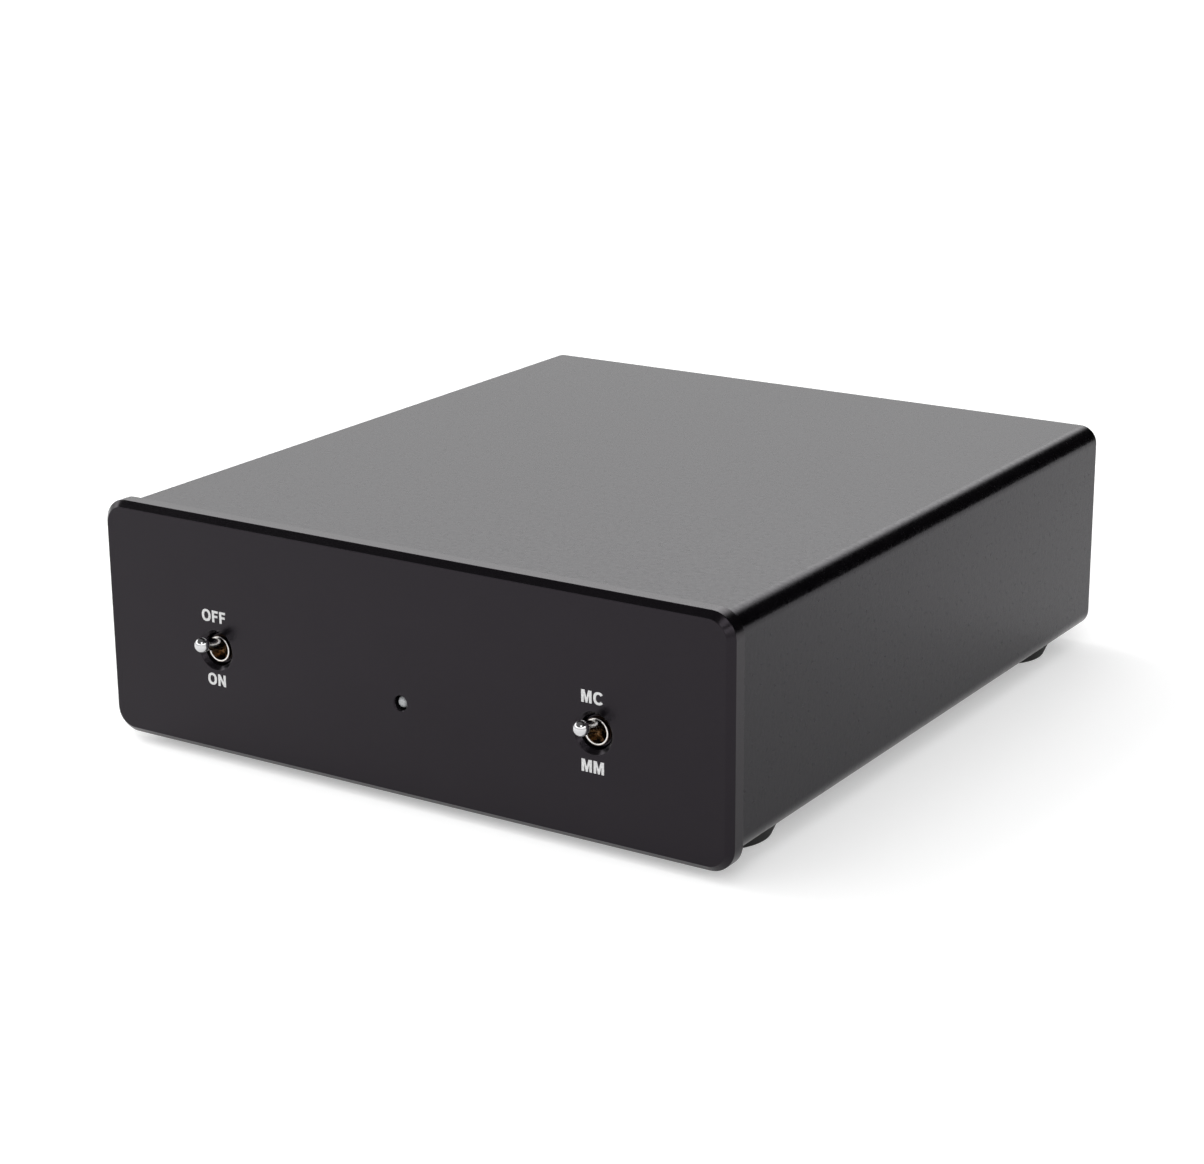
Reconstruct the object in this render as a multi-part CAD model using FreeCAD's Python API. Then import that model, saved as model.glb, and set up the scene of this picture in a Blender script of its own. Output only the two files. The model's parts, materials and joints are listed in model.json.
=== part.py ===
import FreeCAD, Part

import math
import os
from FreeCAD import Vector

# Phono preamp: a low metal box with a front plate, two toggle switches, an indicator and rear sockets.
# Millimetres. X to the right, Y into the box, Z up. The origin is on the floor, at mid length.
# A depth is a distance behind the front plate's face.

# Housing
panel_width = 172.5
panel_height = 58.0
panel_thick = 5.0
panel_chamfer = 1.5
panel_corner = 6.0
panel_drop = 2.4
sleeve_width = 170.2
sleeve_height = 54.3
sleeve_corner = 4.5
sleeve_wall = 2.0
box_depth = 189.5
slide_gap = 0.3
sheet = 1.5
side_flange_height = 13.0
rear_lip_height = 8.0
rear_ear_width = 10.0
rear_plate_thick = 2.0
rear_recess = 0.5

# Feet
foot_height = 4.6
foot_top_radius = 13.5
foot_bottom_radius = 11.5
foot_x = 68.0
foot_depths = (26.3, 171.2)
foot_recess_radius = 4.2
foot_recess_depth = 2.6
foot_screw_end = 1.0

# M3 fasteners
m3_radius = 1.5
m3_clear = 1.7
m3_tap = 1.55
m3_head_radius = 2.9
m3_head_height = 1.8
m3_nut_across = 5.5
m3_nut_height = 2.4
panel_screw_x = 76.0
panel_screw_rise = 19.0
panel_screw_reach = 3.0
panel_tap_reach = 3.3
rear_screw_reach = 4.5

# Toggle switches
switch_places = {"power_switch": -53.0, "cartridge_switch": 52.0}
switch_rise = -3.1
switch_hole_radius = 4.0
switch_hole_chamfer = 1.0
bushing_radius = 3.175
bushing_depth = 1.1
bushing_length = 9.1
bushing_rim = 0.4
bushing_bore = 2.05
bushing_cone_length = 3.5
bushing_nut_across = 8.0
bushing_nut_height = 2.0
dress_nut_radius = 3.85
dress_nut_height = 2.8
dress_nut_chamfer = 0.3
washer_thick = 0.6
washer_radius = 4.6
washer_teeth = 10
lever_pivot_depth = 5.9
lever_length = 10.9
lever_tilt = 14.0
lever_tip_radius = 1.85
lever_neck_radius = 1.6
lever_root_radius = 1.3
lever_ball_radius = 1.75
lever_tail_length = 5.8
lever_tail_radius = 0.7
cross_pin_radius = 0.6
cross_pin_reach = 2.85
running_gap = 0.05
thread_gap = 0.02
seam_turn = 45.0
hole_gap = 0.1
over = 1.0
switch_body_wide = 6.8
switch_body_tall = 12.7
switch_body_deep = 9.0
switch_body_wall = 0.9
switch_body_mouth = 2.4
rocker_behind = 5.0
rocker_half_tall = 4.3
rocker_half_wide = 1.5
rocker_thick = 0.5
rocker_hub = 2.3
rocker_tilt = 8.0
rocker_pin_radius = 0.4
rocker_pin_reach = 2.9
terminal_spread = 4.7
terminal_thick = 0.8
terminal_wide = 1.8
terminal_reach = 4.8
contact_gap = 0.4

# Indicator
led_x = 0.5
led_rise = -6.1
led_hole_radius = 1.7
led_hole_chamfer = 0.25
led_radius = 1.45
led_tip_depth = 0.35
led_rim_radius = 1.9
led_rim_thick = 1.0
led_seat_radius = 2.0
led_lead_radius = 0.25
led_lead_spread = 1.27
led_lead_run = 10.0
led_lead_end = 1.0
led_holder_radius = 4.0
led_holder_thick = 1.5

# Circuit board
board_half_width = 76.0
board_start = 12.0
board_end = 180.0
board_thick = 1.6
standoff_height = 6.0
standoff_across = 5.5
standoff_base = 1.0
board_screw_x = 70.0
board_screw_depths = (45.0, 152.0)
board_screw_reach = 4.0
film_capacitor_half = (6.5, 3.5)
film_capacitor_height = 9.0
film_capacitor_xs = (-60, -42, -24)
film_capacitor_depths = (62, 82)
chip_half = (3.2, 4.9)
chip_height = 4.5
chip_xs = (-56, -36)
chip_depths = (104, 122)
relay_half = (5.0, 9.5)
relay_height = 10.0
relay_xs = (0, 16)
relay_depths = (70,)
can_radius = 5.0
can_height = 18.0
can_xs = (32, 46)
can_depths = (128, 142)
resistor_radius = 1.2
resistor_half_length = 3.2
resistor_xs = (-64, -54, -44, -34, -24, -14)
resistor_depths = (94, 140)
heat_sink_low_x = 28
heat_sink_high_x = 60
heat_sink_depth = 96
heat_sink_height = 22
heat_sink_base = 2.0
fin_length = 10.0
fin_thick = 1.5
fin_pitch = 5
wire_radius = 0.6
wire_bend = 2.4
connector_half_wide = 3.0
connector_height = 4.0
connector_start = 28.0
connector_end = 39.5
switch_wire_depths = (30.5, 33.75, 37.0)

# Rear sockets
socket_rise = 1.8
jack_places = {"input_left": -58.0, "input_right": -41.0, "output_left": 2.0, "output_right": 19.0}
jack_flange_radius = 5.75
jack_flange_thick = 1.5
jack_radius = 4.15
jack_length = 9.0
jack_neck_radius = 4.0
jack_neck_length = 8.0
jack_bore = 3.45
jack_sink = 0.5
jack_contact_radius = 2.0
jack_contact_bore = 1.65
jack_contact_length = 13.0
jack_contact_socket = 11.0
jack_tail_radius = 0.9
jack_tail_length = 10.0
jack_nut_across = 11.0
jack_nut_height = 2.2
rear_lead_run = 5.0
post_x = -20.0
post_radius = 2.0
post_inside = 8.0
post_outside = 14.0
post_nut_across = 7.0
post_nut_height = 2.4
post_washer_radius = 4.5
post_washer_thick = 0.8
post_washer_gap = 0.3
post_washer_play = 0.2
thumb_nut_radius = 5.5
thumb_nut_length = 6.5
thumb_nut_gap = 0.15
thumb_nut_grooves = 24
thumb_groove_radius = 0.45
inlet_x = 56.0
inlet_flange_radius = 6.75
inlet_neck_radius = 5.0
inlet_bore = 3.0
inlet_bore_depth = 9.5
inlet_length = 12.0
inlet_pin_radius = 1.05
inlet_pin_length = 9.0
inlet_pin_tail = 2.0
inlet_nut_across = 13.0
inlet_nut_height = 2.0

# Worked out from the driving dimensions
sleeve_bottom = foot_height
sleeve_middle = sleeve_bottom + sleeve_height / 2
panel_middle = sleeve_bottom - panel_drop + panel_height / 2
front_reach = lever_length * math.cos(math.radians(lever_tilt)) - lever_pivot_depth + lever_tip_radius
rear_face = box_depth - rear_recess
rear_inside = rear_face - rear_plate_thick
rear_reach = rear_face + post_outside - box_depth
front_face_y = front_reach - (front_reach + box_depth + rear_reach) / 2
flange_back = panel_thick + sheet
tray_floor = sleeve_bottom + sleeve_wall
tray_top = tray_floor + sheet
board_bottom = tray_top + standoff_height
board_top = board_bottom + board_thick
switch_z = panel_middle + switch_rise
led_z = panel_middle + led_rise
socket_z = sleeve_middle + socket_rise
bushing_end = bushing_depth + bushing_length
rocker_depth = bushing_end + rocker_behind
tray_width = sleeve_width - 2 * sleeve_wall - 2 * slide_gap
tray_height = sleeve_height - 2 * sleeve_wall - slide_gap
tray_corner = sleeve_corner - sleeve_wall
tray_middle = tray_floor + tray_height / 2
along = Vector(0, 1, 0)
upward = Vector(0, 0, 1)
across = Vector(1, 0, 0)


def at(x, depth, z):
    return Vector(x, front_face_y + depth, z)


def box(x_low, x_high, depth_low, depth_high, z_low, z_high):
    corner = at(x_low, depth_low, z_low)
    return Part.makeBox(x_high - x_low, depth_high - depth_low, z_high - z_low, corner)


def rod_back(radius, depth_low, depth_high, x, z):
    return Part.makeCylinder(radius, depth_high - depth_low, at(x, depth_low, z), along)


def rod_up(radius, z_low, z_high, x, depth):
    return Part.makeCylinder(radius, z_high - z_low, at(x, depth, z_low), upward)


def hole_back(radius, depth_low, depth_high, x, z):
    return rod_back(radius, depth_low - over, depth_high + over, x, z)


def hole_up(radius, z_low, z_high, x, depth):
    return rod_up(radius, z_low - over, z_high + over, x, depth)


def rod_across(radius, half_length, x, depth, z):
    return Part.makeCylinder(radius, 2 * half_length, at(x - half_length, depth, z), across)


def hexagon(across_flats, centre, axis, length):
    """A hexagonal prism from centre along axis, with two flats level."""
    corner_radius = across_flats / math.sqrt(3)
    side = across if axis != across else along
    other = axis.cross(side)
    points = []
    for step in range(6):
        angle = math.radians(60 * step)
        reach = side * math.cos(angle) + other * math.sin(angle)
        points.append(centre + reach * corner_radius)
    wire = Part.makePolygon(points + [points[0]])
    return Part.Face(wire).extrude(axis * length)


def rounded_slab(width, height, corner, depth_low, depth_high, middle):
    """A rectangle with rounded corners, facing the front, from one depth to the other."""
    slab = box(-width / 2, width / 2, depth_low, depth_high, middle - height / 2, middle + height / 2)
    long_edges = []
    for edge in slab.Edges:
        if abs(edge.tangentAt(edge.FirstParameter).y) > 0.99:
            long_edges.append(edge)
    return slab.makeFillet(corner, long_edges)


def bent_wire(start, corner, end, radius):
    """A round wire with one bend: straight, an arc about the corner, straight."""
    first = (corner - start).normalize()
    second = (end - corner).normalize()
    arc_start = corner - first * wire_bend
    arc_end = corner + second * wire_bend
    centre = corner - first * wire_bend + second * wire_bend
    arc_middle = centre + (corner - centre).normalize() * wire_bend
    path = Part.Wire([
        Part.LineSegment(start, arc_start).toShape(),
        Part.Arc(arc_start, arc_middle, arc_end).toShape(),
        Part.LineSegment(arc_end, end).toShape(),
    ])
    profile = Part.Wire([Part.Circle(start, first, radius).toShape()])
    return path.makePipeShell([profile], True, False)


def joined(pieces):
    return Part.makeCompound(pieces)


def fused(pieces):
    return pieces[0].multiFuse(pieces[1:]).removeSplitter()


def panel_screw_places():
    places = []
    for x in (-panel_screw_x, panel_screw_x):
        for rise in (-panel_screw_rise, panel_screw_rise):
            places.append((x, sleeve_middle + rise))
    return places


def foot_places():
    places = {}
    for end, depth in zip(("front", "rear"), foot_depths):
        for side, x in (("left", -foot_x), ("right", foot_x)):
            places[end + "_" + side] = (x, depth)
    return places


def board_screw_places():
    places = []
    for x in (-board_screw_x, board_screw_x):
        for depth in board_screw_depths:
            places.append((x, depth))
    return places


# Housing

def eased_hole(radius, chamfer, x, z):
    """A hole through the front plate with its front edge chamfered."""
    bore = rod_back(radius, -over, panel_thick + over, x, z)
    mouth = Part.makeCone(radius + chamfer, radius, chamfer, at(x, 0, z), along)
    return bore.fuse(mouth)


def front_panel():
    plate = rounded_slab(panel_width, panel_height, panel_corner, 0, panel_thick, panel_middle)
    front_edges = []
    for edge in plate.Edges:
        if edge.BoundBox.YMax < front_face_y + 0.01:
            front_edges.append(edge)
    plate = plate.makeChamfer(panel_chamfer, front_edges)
    holes = [eased_hole(led_hole_radius, led_hole_chamfer, led_x, led_z)]
    for x in switch_places.values():
        holes.append(eased_hole(switch_hole_radius, switch_hole_chamfer, x, switch_z))
    for x, z in panel_screw_places():
        holes.append(rod_back(m3_tap, panel_thick - panel_tap_reach, panel_thick + over, x, z))
    return plate.cut(joined(holes))


def front_panel_screws():
    screws = []
    for x, z in panel_screw_places():
        shank = rod_back(m3_radius, panel_thick - panel_screw_reach, flange_back, x, z)
        head = rod_back(m3_head_radius, flange_back, flange_back + m3_head_height, x, z)
        screws.append(fused([shank, head]))
    return joined(screws)


def enclosure_sleeve():
    outer = rounded_slab(sleeve_width, sleeve_height, sleeve_corner, panel_thick, box_depth, sleeve_middle)
    inner = rounded_slab(sleeve_width - 2 * sleeve_wall, sleeve_height - 2 * sleeve_wall,
                         sleeve_corner - sleeve_wall, panel_thick - over, box_depth + over, sleeve_middle)
    holes = []
    for x, depth in foot_places().values():
        holes.append(hole_up(m3_clear, sleeve_bottom, tray_floor, x, depth))
    return outer.cut(inner).cut(joined(holes))


def chassis_tray():
    block = rounded_slab(tray_width, tray_height, tray_corner, panel_thick, rear_inside, tray_middle)
    hollow = rounded_slab(tray_width - 2 * sheet, tray_height - 2 * sheet, tray_corner - sheet,
                          flange_back, rear_inside - sheet, tray_middle)
    open_top = box(-tray_width, tray_width, flange_back, rear_inside - sheet,
                   tray_floor + side_flange_height, tray_floor + 2 * tray_height)
    ear_limit = tray_width / 2 - rear_ear_width
    rear_gap = box(-ear_limit, ear_limit, rear_inside - 2 * sheet, rear_inside + over,
                   tray_floor + rear_lip_height, tray_floor + 2 * tray_height)
    tray = block.cut(hollow).cut(open_top).cut(rear_gap)
    holes = [hole_back(led_seat_radius, panel_thick, flange_back, led_x, led_z)]
    for x in switch_places.values():
        holes.append(hole_back(bushing_radius + hole_gap, panel_thick, flange_back, x, switch_z))
    for x, z in panel_screw_places():
        holes.append(hole_back(m3_clear, panel_thick, flange_back, x, z))
        holes.append(hole_back(m3_tap, rear_inside - sheet, rear_inside, x, z))
    for x, depth in foot_places().values():
        holes.append(hole_up(m3_clear, tray_floor, tray_top, x, depth))
    return tray.cut(joined(holes))


def rear_panel():
    plate = rounded_slab(tray_width, tray_height, tray_corner, rear_inside, rear_face, tray_middle)
    low, high = rear_inside - over, rear_face + over
    holes = [rod_back(post_radius + hole_gap, low, high, post_x, socket_z),
             rod_back(inlet_neck_radius + hole_gap, low, high, inlet_x, socket_z)]
    for x in jack_places.values():
        holes.append(rod_back(jack_neck_radius + hole_gap, low, high, x, socket_z))
    for x, z in panel_screw_places():
        holes.append(rod_back(m3_clear, low, high, x, z))
    return plate.cut(joined(holes))


def rear_panel_screws():
    screws = []
    for x, z in panel_screw_places():
        shank = rod_back(m3_radius, rear_face - rear_screw_reach, rear_face, x, z)
        head = rod_back(m3_head_radius, rear_face, rear_face + m3_head_height, x, z)
        screws.append(fused([shank, head]))
    return joined(screws)


# Feet

def foot(x, depth):
    rubber = Part.makeCone(foot_bottom_radius, foot_top_radius, foot_height, at(x, depth, 0), upward)
    recess = rod_up(foot_recess_radius, -over, foot_recess_depth, x, depth)
    hole = rod_up(m3_clear, -over, foot_height + over, x, depth)
    return rubber.cut(joined([recess, hole]))


def foot_screws():
    screws = []
    for x, depth in foot_places().values():
        head = rod_up(m3_head_radius, foot_recess_depth - m3_head_height, foot_recess_depth, x, depth)
        shank = rod_up(m3_radius, foot_recess_depth, tray_top + m3_nut_height + foot_screw_end, x, depth)
        screws.append(fused([head, shank]))
    return joined(screws)


def foot_nuts():
    nuts = []
    for x, depth in foot_places().values():
        nut = hexagon(m3_nut_across, at(x, depth, tray_top), upward, m3_nut_height)
        nuts.append(nut.cut(hole_up(m3_tap, tray_top, tray_top + m3_nut_height, x, depth)))
    return joined(nuts)


# Toggle switches

def switch_bushing(x):
    """A bored tube with a coned mouth. Its seams are turned away from the cross pin's hole."""
    shell = rod_back(bushing_radius, bushing_depth, bushing_end, x, switch_z)
    bore = hole_back(bushing_bore, bushing_depth, bushing_end, x, switch_z)
    cone = Part.makeCone(bushing_radius - bushing_rim, bushing_bore, bushing_cone_length,
                         at(x, bushing_depth, switch_z), along)
    pin_hole = rod_across(cross_pin_radius + running_gap, bushing_radius + over,
                          x, lever_pivot_depth, switch_z)
    tube = shell.cut(bore).cut(cone)
    tube.rotate(at(x, 0, switch_z), along, seam_turn)
    return tube.cut(pin_hole)


def lever_outline(x):
    """Half the lever's side view, closed along its axis: tail, pivot ball, tapered bat, rounded tip."""
    pivot = at(x, lever_pivot_depth, switch_z)

    def spot(forward, radius):
        return pivot - along * forward + upward * radius

    def bow(centre, radius, start, end):
        """An arc about a place on the axis, between two angles from the forward direction."""
        spots = []
        for angle in (start, (start + end) / 2, end):
            spots.append(spot(centre + radius * math.cos(angle), radius * math.sin(angle)))
        return Part.Arc(*spots).toShape()

    tail_turn = math.pi - math.asin(lever_tail_radius / lever_ball_radius)
    root_turn = math.asin(lever_root_radius / lever_ball_radius)
    neck_turn = math.pi - math.asin(lever_neck_radius / lever_tip_radius)
    bows = [bow(-lever_tail_length, lever_tail_radius, math.pi, math.pi / 2),
            bow(0, lever_ball_radius, tail_turn, root_turn),
            bow(lever_length, lever_tip_radius, neck_turn, 0)]
    edges = []
    for bow_edge, after in zip(bows, bows[1:] + bows[:1]):
        edges.append(bow_edge)
        edges.append(Part.LineSegment(bow_edge.lastVertex().Point, after.firstVertex().Point).toShape())
    return Part.Face(Part.Wire(edges))


def switch_lever(x):
    """A bat lever turned about its own axis, lying along the depth, then tilted up about its cross pin."""
    pivot = at(x, lever_pivot_depth, switch_z)
    bat = lever_outline(x).revolve(pivot, along, 360)
    pin = rod_across(cross_pin_radius, cross_pin_reach, x, lever_pivot_depth, switch_z)
    lever = bat.fuse(pin)
    lever.rotate(pivot, across, -lever_tilt)
    return lever


def switch_body(x):
    half_wide, half_tall = switch_body_wide / 2, switch_body_tall / 2
    back = bushing_end + switch_body_deep
    wall = switch_body_wall
    case = box(x - half_wide, x + half_wide, bushing_end, back, switch_z - half_tall, switch_z + half_tall)
    room = box(x - half_wide + wall, x + half_wide - wall, bushing_end + wall, back - wall,
               switch_z - half_tall + wall, switch_z + half_tall - wall)
    mouth = rod_back(switch_body_mouth, bushing_end - over, bushing_end + 2 * wall, x, switch_z)
    pin_seat = rod_across(rocker_pin_radius + running_gap, rocker_pin_reach + running_gap,
                          x, rocker_depth, switch_z)
    return case.cut(room).cut(mouth).cut(pin_seat).cut(switch_terminals(x))


def switch_rocker(x):
    """A see-saw contact plate with a raised hub in front and a pin through its middle."""
    plate = box(x - rocker_half_wide, x + rocker_half_wide, rocker_depth - rocker_thick / 2,
                rocker_depth + rocker_thick / 2, switch_z - rocker_half_tall, switch_z + rocker_half_tall)
    foot_half = rocker_half_tall / 2
    profile = Part.makePolygon([
        at(x - rocker_half_wide, rocker_depth, switch_z - foot_half),
        at(x - rocker_half_wide, rocker_depth, switch_z + foot_half),
        at(x - rocker_half_wide, rocker_depth - rocker_hub, switch_z),
        at(x - rocker_half_wide, rocker_depth, switch_z - foot_half),
    ])
    hub = Part.Face(profile).extrude(across * (2 * rocker_half_wide))
    pin = rod_across(rocker_pin_radius, rocker_pin_reach, x, rocker_depth, switch_z)
    rocker = fused([plate, hub, pin])
    rocker.rotate(at(x, rocker_depth, switch_z), across, rocker_tilt)
    return rocker


def switch_terminals(x):
    """Three solder tabs; the middle one reaches up to the rocker's back."""
    tabs = []
    end = bushing_end + switch_body_deep + terminal_reach
    swing = rocker_half_tall * math.sin(math.radians(rocker_tilt)) + rocker_thick / 2
    for step in (-1, 0, 1):
        z = switch_z + step * terminal_spread
        start = rocker_depth + contact_gap + (swing if step else rocker_thick / 2)
        tabs.append(box(x - terminal_thick / 2, x + terminal_thick / 2, start, end,
                        z - terminal_wide / 2, z + terminal_wide / 2))
    return joined(tabs)


def switch_rear_nut(x, depth):
    nut = hexagon(bushing_nut_across, at(x, depth, switch_z), along, bushing_nut_height)
    return nut.cut(hole_back(bushing_radius + thread_gap, depth, depth + bushing_nut_height, x, switch_z))


def switch_front_nut(x):
    """A round dress nut with a chamfered front edge, sunk in the front plate's hole."""
    front = panel_thick - dress_nut_height
    shoulder = front + dress_nut_chamfer
    barrel = rod_back(dress_nut_radius, shoulder, panel_thick, x, switch_z)
    edge = Part.makeCone(dress_nut_radius - dress_nut_chamfer, dress_nut_radius, dress_nut_chamfer,
                         at(x, front, switch_z), along)
    hole = hole_back(bushing_radius + thread_gap, front, panel_thick, x, switch_z)
    return fused([barrel, edge]).cut(hole)


def switch_lock_washer(x):
    """A flat ring with notches round its inner edge."""
    end = flange_back + washer_thick
    ring = rod_back(washer_radius, flange_back, end, x, switch_z)
    hole = hole_back(bushing_radius + thread_gap, flange_back, end, x, switch_z)
    notches = []
    notch_half = bushing_radius * math.pi / washer_teeth / 2
    for step in range(washer_teeth):
        notch = box(x, x + (washer_radius + bushing_radius) / 2, flange_back - over, end + over,
                    switch_z - notch_half / 2, switch_z + notch_half / 2)
        notch.rotate(at(x, 0, switch_z), along, 360 / washer_teeth * step)
        notches.append(notch)
    return ring.cut(hole).cut(fused(notches))


def switch_leads(x):
    """Three insulated leads from the solder tabs back and down to the connector."""
    leads = []
    start = bushing_end + switch_body_deep + terminal_reach
    for step, depth in zip((-1, 0, 1), switch_wire_depths):
        z = switch_z + step * terminal_spread
        leads.append(bent_wire(at(x, start, z), at(x, depth, z),
                               at(x, depth, board_top + connector_height), wire_radius))
    return joined(leads)


def switch_connectors():
    blocks = []
    for x in switch_places.values():
        blocks.append(box(x - connector_half_wide, x + connector_half_wide, connector_start, connector_end,
                          board_top, board_top + connector_height))
    return joined(blocks)


# Indicator

def led_lens():
    barrel = rod_back(led_radius, led_tip_depth + led_radius, panel_thick, led_x, led_z)
    dome = Part.makeSphere(led_radius, at(led_x, led_tip_depth + led_radius, led_z))
    rim = rod_back(led_rim_radius, panel_thick, panel_thick + led_rim_thick, led_x, led_z)
    return fused([barrel, dome, rim])


def led_leads():
    leads = []
    start = panel_thick + led_rim_thick
    for side in (-led_lead_spread, led_lead_spread):
        x = led_x + side
        turn = start + led_lead_run
        leads.append(bent_wire(at(x, start, led_z), at(x, turn, led_z),
                               at(x, turn, board_bottom - led_lead_end), led_lead_radius))
    return joined(leads)


def led_holder():
    start = panel_thick + led_rim_thick
    collar = rod_back(led_rim_radius, start, flange_back, led_x, led_z)
    disc = rod_back(led_holder_radius, flange_back, flange_back + led_holder_thick, led_x, led_z)
    holes = []
    for side in (-led_lead_spread, led_lead_spread):
        holes.append(hole_back(led_lead_radius + running_gap, start, flange_back + led_holder_thick,
                               led_x + side, led_z))
    return fused([collar, disc]).cut(joined(holes))


# Circuit board and what it carries

def circuit_board():
    board = box(-board_half_width, board_half_width, board_start, board_end, board_bottom, board_top)
    holes = []
    for x, depth in board_screw_places():
        holes.append(hole_up(m3_clear, board_bottom, board_top, x, depth))
    for side in (-led_lead_spread, led_lead_spread):
        holes.append(hole_up(led_lead_radius + hole_gap, board_bottom, board_top,
                             led_x + side, panel_thick + led_rim_thick + led_lead_run))
    return board.cut(joined(holes))


def board_standoffs():
    posts = []
    for x, depth in board_screw_places():
        post = hexagon(standoff_across, at(x, depth, tray_top), upward, standoff_height)
        posts.append(post.cut(rod_up(m3_tap, tray_top + standoff_base, board_bottom + over, x, depth)))
    return joined(posts)


def board_screws():
    screws = []
    for x, depth in board_screw_places():
        shank = rod_up(m3_radius, board_bottom - board_screw_reach, board_top, x, depth)
        head = rod_up(m3_head_radius, board_top, board_top + m3_head_height, x, depth)
        screws.append(fused([shank, head]))
    return joined(screws)


def blocks_on_board(places, half_size, height):
    half_wide, half_deep = half_size
    blocks = []
    for x, depth in places:
        blocks.append(box(x - half_wide, x + half_wide, depth - half_deep, depth + half_deep,
                          board_top, board_top + height))
    return joined(blocks)


def grid(xs, depths):
    return [(x, depth) for x in xs for depth in depths]


def film_capacitors():
    places = grid(film_capacitor_xs, film_capacitor_depths)
    return blocks_on_board(places, film_capacitor_half, film_capacitor_height)


def op_amps():
    return blocks_on_board(grid(chip_xs, chip_depths), chip_half, chip_height)


def relays():
    return blocks_on_board(grid(relay_xs, relay_depths), relay_half, relay_height)


def electrolytic_capacitors():
    cans = []
    for x, depth in grid(can_xs, can_depths):
        cans.append(rod_up(can_radius, board_top, board_top + can_height, x, depth))
    return joined(cans)


def resistors():
    bodies = []
    for x, depth in grid(resistor_xs, resistor_depths):
        bodies.append(rod_across(resistor_radius, resistor_half_length, x, depth,
                                 board_top + resistor_radius))
    return joined(bodies)


def regulator_heat_sink():
    """An upright plate with fins to the rear."""
    top = board_top + heat_sink_height
    fin_start = heat_sink_depth + heat_sink_base
    fins = [box(heat_sink_low_x, heat_sink_high_x, heat_sink_depth, fin_start, board_top, top)]
    for x in range(heat_sink_low_x, heat_sink_high_x, fin_pitch):
        fins.append(box(x, x + fin_thick, fin_start, fin_start + fin_length, board_top, top))
    return fused(fins)


# Rear sockets

def jack_shell(x):
    end = rear_face + jack_flange_thick + jack_length
    flange = rod_back(jack_flange_radius, rear_face, rear_face + jack_flange_thick, x, socket_z)
    barrel = rod_back(jack_radius, rear_face + jack_flange_thick, end, x, socket_z)
    neck = rod_back(jack_neck_radius, rear_face - jack_neck_length, rear_face, x, socket_z)
    bore = hole_back(jack_bore, rear_face - jack_neck_length, end, x, socket_z)
    return fused([flange, barrel, neck]).cut(bore)


def jack_contact_outline(x):
    end = rear_face + jack_flange_thick + jack_length - jack_sink
    start = end - jack_contact_length
    barrel = rod_back(jack_contact_radius, start, end, x, socket_z)
    tail = rod_back(jack_tail_radius, start - jack_tail_length, start, x, socket_z)
    return fused([barrel, tail])


def jack_contacts():
    contacts = []
    end = rear_face + jack_flange_thick + jack_length - jack_sink
    for x in jack_places.values():
        socket = rod_back(jack_contact_bore, end - jack_contact_socket, end + over, x, socket_z)
        contacts.append(jack_contact_outline(x).cut(socket))
    return joined(contacts)


def jack_insulators():
    sleeves = []
    end = rear_face + jack_flange_thick + jack_length - jack_sink
    for x in jack_places.values():
        sleeve = rod_back(jack_bore, rear_face - jack_neck_length - over, end, x, socket_z)
        sleeves.append(sleeve.cut(jack_contact_outline(x)))
    return joined(sleeves)


def jack_nuts():
    nuts = []
    start = rear_inside - jack_nut_height
    for x in jack_places.values():
        nut = hexagon(jack_nut_across, at(x, start, socket_z), along, jack_nut_height)
        nuts.append(nut.cut(hole_back(jack_neck_radius + thread_gap, start, rear_inside, x, socket_z)))
    return joined(nuts)


def rear_lead_starts():
    """Where each rear terminal ends inside the box: its place across and its depth."""
    jack_end = (rear_face + jack_flange_thick + jack_length - jack_sink
                - jack_contact_length - jack_tail_length)
    starts = [(x, jack_end) for x in jack_places.values()]
    starts.append((post_x, rear_inside - post_inside))
    starts.append((inlet_x, rear_face + jack_flange_thick - inlet_length - inlet_pin_tail))
    return starts


def rear_leads():
    """Leads from the sockets, the ground post and the power inlet down to the board."""
    leads = []
    for x, depth in rear_lead_starts():
        leads.append(bent_wire(at(x, depth, socket_z), at(x, depth - rear_lead_run, socket_z),
                               at(x, depth - rear_lead_run, board_top), wire_radius))
    return joined(leads)


def ground_stud():
    return rod_back(post_radius, rear_inside - post_inside, rear_face + post_outside, post_x, socket_z)


def ground_hex_nuts():
    nuts = []
    for start in (rear_inside - post_nut_height, rear_face):
        nut = hexagon(post_nut_across, at(post_x, start, socket_z), along, post_nut_height)
        hole = hole_back(post_radius + thread_gap, start, start + post_nut_height, post_x, socket_z)
        nuts.append(nut.cut(hole))
    return joined(nuts)


def ground_washer():
    start = rear_face + post_nut_height + post_washer_gap
    disc = rod_back(post_washer_radius, start, start + post_washer_thick, post_x, socket_z)
    hole = hole_back(post_radius + post_washer_play, start, start + post_washer_thick, post_x, socket_z)
    return disc.cut(hole)


def ground_thumb_nut():
    """A grooved round nut that turns and travels on the stud's thread."""
    start = rear_face + post_nut_height + post_washer_gap + post_washer_thick + thumb_nut_gap
    knob = rod_back(thumb_nut_radius, start, start + thumb_nut_length, post_x, socket_z)
    cuts = [hole_back(post_radius + running_gap, start, start + thumb_nut_length, post_x, socket_z)]
    for step in range(thumb_nut_grooves):
        angle = math.radians(360 / thumb_nut_grooves * step)
        groove_x = post_x + thumb_nut_radius * math.cos(angle)
        groove_z = socket_z + thumb_nut_radius * math.sin(angle)
        cuts.append(hole_back(thumb_groove_radius, start, start + thumb_nut_length, groove_x, groove_z))
    return knob.cut(joined(cuts))


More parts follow.
